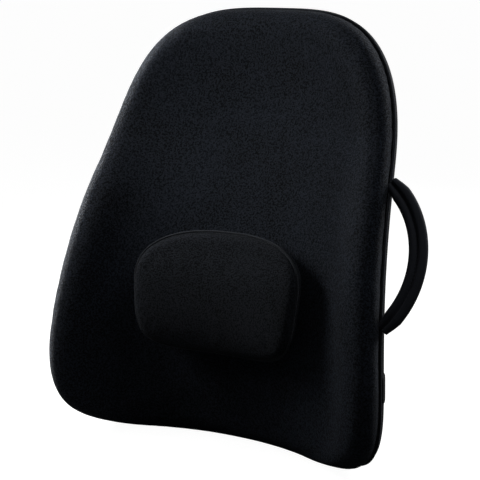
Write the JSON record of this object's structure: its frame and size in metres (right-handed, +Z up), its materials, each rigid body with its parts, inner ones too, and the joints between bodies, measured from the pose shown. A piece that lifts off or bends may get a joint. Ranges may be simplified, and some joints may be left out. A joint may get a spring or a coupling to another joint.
{
  "type": "lumbar support cushion",
  "caption": "Portable dished backrest with a rigid shell in a zip-off fabric cover, a side carry handle, a buckled chair strap and a removable lumbar pad.",
  "frame": {"origin": "middle of the flat that the backrest stands on, at the bottom of the front cover", "axes": "+Z up, -Y towards the person who leans on it, +X to the side with the carry handle"},
  "size_m": [0.4906, 0.2118, 0.5308],
  "materials": {
    "front_fabric": "brushed loop-pile knit",
    "back_fabric": "woven upholstery cloth",
    "pad_fabric": "brushed knit, finer than the cover",
    "piping": "sewn piping",
    "foam": "open-cell foam",
    "webbing": "ribbed webbing",
    "hook_tape": "nylon hook tape",
    "cord": "plain cord",
    "shell": "moulded, lightly textured",
    "buckle_plastic": "moulded acetal",
    "zip_coil": "nylon coil",
    "zip_metal": "dark enamel"
  },
  "bodies": {
    "backrest": {"frame_shell": "shell", "front_foam": "foam", "back_padding": "foam", "front_cover": "front_fabric", "back_cover": "back_fabric", "edge_welt": "piping", "zipper_tape_upper": "webbing", "zipper_tape_lower": "webbing", "zipper_teeth_upper": "zip_coil", "zipper_teeth_lower": "zip_coil", "zipper_stop_open": "zip_metal", "zipper_stop_closed": "zip_metal", "handle_anchor_upper": "webbing", "handle_anchor_lower": "webbing", "strap_anchor_left": "webbing", "strap_anchor_right": "webbing", "strap_left": "webbing", "strap_right": "webbing", "buckle_female": "buckle_plastic"},
    "lumbar_carriage": {"hook_strip_left": "hook_tape", "hook_strip_right": "hook_tape"},
    "lumbar_pad": {"pad_front_cover": "pad_fabric", "pad_rear_cover": "pad_fabric", "pad_welt": "piping", "pad_foam": "foam"},
    "handle": {"handle_sleeve": "webbing", "handle_cord_outer": "cord", "handle_cord_inner": "cord"},
    "zip_slider": {"zipper_slider": "zip_metal"},
    "zip_pull": {"zipper_pull": "zip_metal"},
    "male_half": {"buckle_male": "buckle_plastic"},
    "prong_upper": {"buckle_prong_upper": "buckle_plastic"},
    "prong_lower": {"buckle_prong_lower": "buckle_plastic"},
    "adjuster": {"strap_adjuster": "buckle_plastic"}
  },
  "joints": [
    {"name": "lumbar_height", "type": "hinge", "parent": "backrest", "child": "lumbar_carriage", "pos_m": [0, 0.55113, 0.095], "axis": [-1, 0, 0], "range_deg": [-3.5, 3.5]},
    {"name": "lumbar_lift", "type": "slide", "parent": "lumbar_carriage", "child": "lumbar_pad", "axis": [0, -0.9831, 0.183], "range_m": [0, 0.08]},
    {"name": "handle_swing", "type": "hinge", "parent": "backrest", "child": "handle", "pos_m": [0.21565, -0.02873, 0.261], "axis": [-0.1217, 0.3691, 0.9214], "range_deg": [-45, 45]},
    {"name": "zipper_travel", "type": "hinge", "parent": "backrest", "child": "zip_slider", "pos_m": [0, -0.3208, 0.05], "axis": [0, 0, 1], "range_deg": [0, 56.2]},
    {"name": "zipper_pull_flip", "type": "hinge", "parent": "zip_slider", "child": "zip_pull", "pos_m": [0.1674, -0.00764, 0.05], "axis": [0, 0, -1], "range_deg": [0, 150]},
    {"name": "buckle_release", "type": "slide", "parent": "backrest", "child": "male_half", "axis": [1, 0, 0], "range_m": [0, 0.024], "deforming": ["strap_right", "buckle_prong_upper", "buckle_prong_lower"]},
    {"name": "prong_upper_press", "type": "hinge", "parent": "male_half", "child": "prong_upper", "pos_m": [0.0103, 0.0358, 0.1245], "axis": [0, -1, 0], "range_deg": [0, 9]},
    {"name": "prong_lower_press", "type": "hinge", "parent": "male_half", "child": "prong_lower", "pos_m": [0.0103, 0.0358, 0.1035], "axis": [0, 1, 0], "range_deg": [0, 9]},
    {"name": "adjuster_slide", "type": "hinge", "parent": "backrest", "child": "adjuster", "pos_m": [0, -0.31769, 0.114], "axis": [0, 0, 1], "range_deg": [-6, 6]}
  ],
  "couplings": [
    {"joint": "prong_lower_press", "follows": "prong_upper_press", "ratio": 1}
  ]
}
